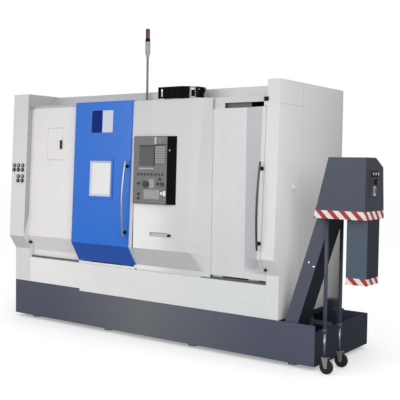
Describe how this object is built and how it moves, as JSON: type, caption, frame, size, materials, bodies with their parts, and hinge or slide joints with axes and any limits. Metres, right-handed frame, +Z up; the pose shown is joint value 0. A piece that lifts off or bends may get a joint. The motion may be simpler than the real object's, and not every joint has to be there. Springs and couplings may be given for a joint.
{
  "type": "cnc turning lathe",
  "caption": "Enclosed slant-bed turning lathe with a sliding front door, a sliding control pulpit, a tall signal lamp and an inclined chip conveyor on casters.",
  "frame": {"origin": "middle of the underside of the front left levelling foot, on the floor", "axes": "+X along the machine from the headstock end to the chip conveyor, +Y from the operator's side to the back, +Z up"},
  "size_m": [3.941, 1.658, 2.897],
  "materials": {
    "white_paint": "semi-gloss",
    "blue_paint": "gloss",
    "slate_paint": "satin",
    "hood_paint": "satin",
    "cast_paint": "painted",
    "steel": "ground",
    "chrome": "polished",
    "motor_paint": "satin",
    "belt_rubber": "matte",
    "black_rubber": "matte",
    "black_plastic": "matte",
    "grey_plastic": "matte",
    "key_plastic": "matte",
    "screen_glass": "gloss",
    "pane": "clear",
    "red_lens": "gloss",
    "red_plastic": "gloss",
    "green_plastic": "gloss",
    "wheel_rubber": "matte"
  },
  "bodies": {
    "machine": {"base_tank": "slate_paint", "levelling_feet": "steel", "left_housing": "white_paint", "right_housing": "white_paint", "left_panel": "white_paint", "front_apron": "white_paint", "roof_cover": "white_paint", "door_rails": "steel", "door_bumpers": "black_rubber", "gauge_cluster": "black_plastic", "slant_bed": "cast_paint", "bed_ways": "steel", "headstock": "cast_paint", "splash_wall": "white_paint", "spindle_motor": "motor_paint", "drive_belt": "belt_rubber", "conveyor_frame": "hood_paint", "conveyor_belt": "steel", "conveyor_hood": "hood_paint", "conveyor_chute": "hood_paint", "conveyor_legs": "chrome", "coolant_pump": "motor_paint", "signal_tower": "white_paint", "signal_lens": "red_lens", "cable_chain": "black_plastic", "electrical_cabinet": "white_paint"},
    "access_door": {"access_door": "white_paint"},
    "blue_door": {"blue_door": "blue_paint", "door_trim": "white_paint", "window_glass": "pane", "blue_door_handle": "black_plastic"},
    "pulpit": {"pulpit_shell": "white_paint", "console_body": "grey_plastic", "console_screen": "screen_glass", "console_keys": "key_plastic"},
    "handwheel": {"handwheel": "black_plastic"},
    "override_knob": {"override_knob": "black_plastic"},
    "cycle_start": {"cycle_start": "green_plastic"},
    "clamp_knob": {"clamp_knob": "black_plastic"},
    "right_door": {"right_door": "white_paint", "right_door_handle": "black_plastic"},
    "spindle": {"spindle": "steel", "chuck_body": "chrome"},
    "jaw_1": {"chuck_jaw_1": "steel"},
    "jaw_2": {"chuck_jaw_2": "steel"},
    "jaw_3": {"chuck_jaw_3": "steel"},
    "motor_pulley": {"motor_pulley": "steel"},
    "carriage": {"carriage": "cast_paint"},
    "cross_slide": {"cross_slide": "cast_paint"},
    "turret": {"turret": "steel"},
    "ball_screw": {"ball_screw": "chrome"},
    "tailstock": {"tailstock": "cast_paint"},
    "quill": {"quill": "chrome"},
    "conveyor_shaft": {"conveyor_shaft": "steel"},
    "conveyor_stop": {"conveyor_stop": "red_plastic"},
    "front_fork": {"front_caster_fork": "steel"},
    "rear_fork": {"rear_caster_fork": "steel"},
    "front_wheel": {"front_caster_wheel": "wheel_rubber"},
    "rear_wheel": {"rear_caster_wheel": "wheel_rubber"},
    "cabinet_door": {"cabinet_door": "white_paint"}
  },
  "joints": [
    {"name": "access_hinge", "type": "hinge", "parent": "machine", "child": "access_door", "pos_m": [0.256, -0.11028, 1.7048], "axis": [0, -0.0419, -0.9991], "range_deg": [0, 95]},
    {"name": "blue_door_slide", "type": "slide", "parent": "machine", "child": "blue_door", "axis": [1, 0, 0], "range_m": [-0.64, 0]},
    {"name": "pulpit_slide", "type": "slide", "parent": "machine", "child": "pulpit", "axis": [1, 0, 0], "range_m": [0, 0.3]},
    {"name": "handwheel_turn", "type": "hinge", "parent": "pulpit", "child": "handwheel", "pos_m": [1.616, -0.1816, 1.432], "axis": [0, -0.9998, 0.0194], "continuous": true},
    {"name": "override_turn", "type": "hinge", "parent": "pulpit", "child": "override_knob", "pos_m": [1.806, -0.18151, 1.437], "axis": [0, -0.9998, 0.0194], "range_deg": [-135, 135]},
    {"name": "cycle_press", "type": "slide", "parent": "pulpit", "child": "cycle_start", "axis": [0, 0.9998, -0.0194], "range_m": [0, 0.0035], "stiffness_N_per_m": 400},
    {"name": "clamp_turn", "type": "hinge", "parent": "pulpit", "child": "clamp_knob", "pos_m": [1.876, -0.16536, 0.982], "axis": [0, -0.9998, 0.0194], "range_deg": [-90, 90]},
    {"name": "right_door_slide", "type": "slide", "parent": "machine", "child": "right_door", "axis": [1, 0, 0], "range_m": [-0.3, 0]},
    {"name": "spindle_turn", "type": "hinge", "parent": "machine", "child": "spindle", "pos_m": [0.79, 0.288, 1.06], "axis": [1, 0, 0], "continuous": true},
    {"name": "motor_turn", "type": "hinge", "parent": "machine", "child": "motor_pulley", "pos_m": [0.19, 0.648, 1.39], "axis": [1, 0, 0], "continuous": true},
    {"name": "jaw_1_slide", "type": "slide", "parent": "spindle", "child": "jaw_1", "axis": [0, 0, 1], "range_m": [-0.02, 0.008]},
    {"name": "jaw_2_slide", "type": "slide", "parent": "spindle", "child": "jaw_2", "axis": [0, -0.866, -0.5], "range_m": [-0.02, 0.008]},
    {"name": "jaw_3_slide", "type": "slide", "parent": "spindle", "child": "jaw_3", "axis": [0, 0.866, -0.5], "range_m": [-0.02, 0.008]},
    {"name": "carriage_slide", "type": "slide", "parent": "machine", "child": "carriage", "axis": [1, 0, 0], "range_m": [-0.04, 0.6]},
    {"name": "cross_slide_move", "type": "slide", "parent": "carriage", "child": "cross_slide", "axis": [0, 0.7071, 0.7071], "range_m": [-0.06, 0.1]},
    {"name": "turret_index", "type": "hinge", "parent": "cross_slide", "child": "turret", "pos_m": [1.09, 0.50537, 1.27737], "axis": [1, 0, 0], "continuous": true},
    {"name": "screw_turn", "type": "hinge", "parent": "machine", "child": "ball_screw", "pos_m": [1.29, 0.39265, 0.83859], "axis": [1, 0, 0], "continuous": true},
    {"name": "tailstock_slide", "type": "slide", "parent": "machine", "child": "tailstock", "axis": [1, 0, 0], "range_m": [-0.35, 0]},
    {"name": "quill_slide", "type": "slide", "parent": "tailstock", "child": "quill", "axis": [-1, 0, 0], "range_m": [0, 0.12]},
    {"name": "conveyor_drive", "type": "hinge", "parent": "machine", "child": "conveyor_shaft", "pos_m": [3.4228, 0.019, 1.472], "axis": [0, 1, 0], "continuous": true},
    {"name": "conveyor_stop_press", "type": "slide", "parent": "machine", "child": "conveyor_stop", "axis": [-1, 0, 0], "range_m": [0, 0.0035], "stiffness_N_per_m": 400},
    {"name": "front_caster_swivel", "type": "hinge", "parent": "machine", "child": "front_fork", "pos_m": [3.376, -0.114, 0.13], "axis": [0, 0, 1], "continuous": true},
    {"name": "rear_caster_swivel", "type": "hinge", "parent": "machine", "child": "rear_fork", "pos_m": [3.376, 0.152, 0.13], "axis": [0, 0, 1], "continuous": true},
    {"name": "front_wheel_roll", "type": "hinge", "parent": "front_fork", "child": "front_wheel", "pos_m": [3.396, -0.114, 0.056], "axis": [0, 1, 0], "continuous": true},
    {"name": "rear_wheel_roll", "type": "hinge", "parent": "rear_fork", "child": "rear_wheel", "pos_m": [3.396, 0.152, 0.056], "axis": [0, 1, 0], "continuous": true},
    {"name": "cabinet_hinge", "type": "hinge", "parent": "machine", "child": "cabinet_door", "pos_m": [2.29, 1.3753, 1.27], "axis": [0, 0, -1], "range_deg": [0, 110]}
  ],
  "couplings": [
    {"joint": "screw_turn", "follows": "carriage_slide", "rad_per_m": 314.16},
    {"joint": "motor_turn", "follows": "spindle_turn", "ratio": 1.5},
    {"joint": "jaw_2_slide", "follows": "jaw_1_slide", "ratio": 1},
    {"joint": "jaw_3_slide", "follows": "jaw_1_slide", "ratio": 1}
  ]
}
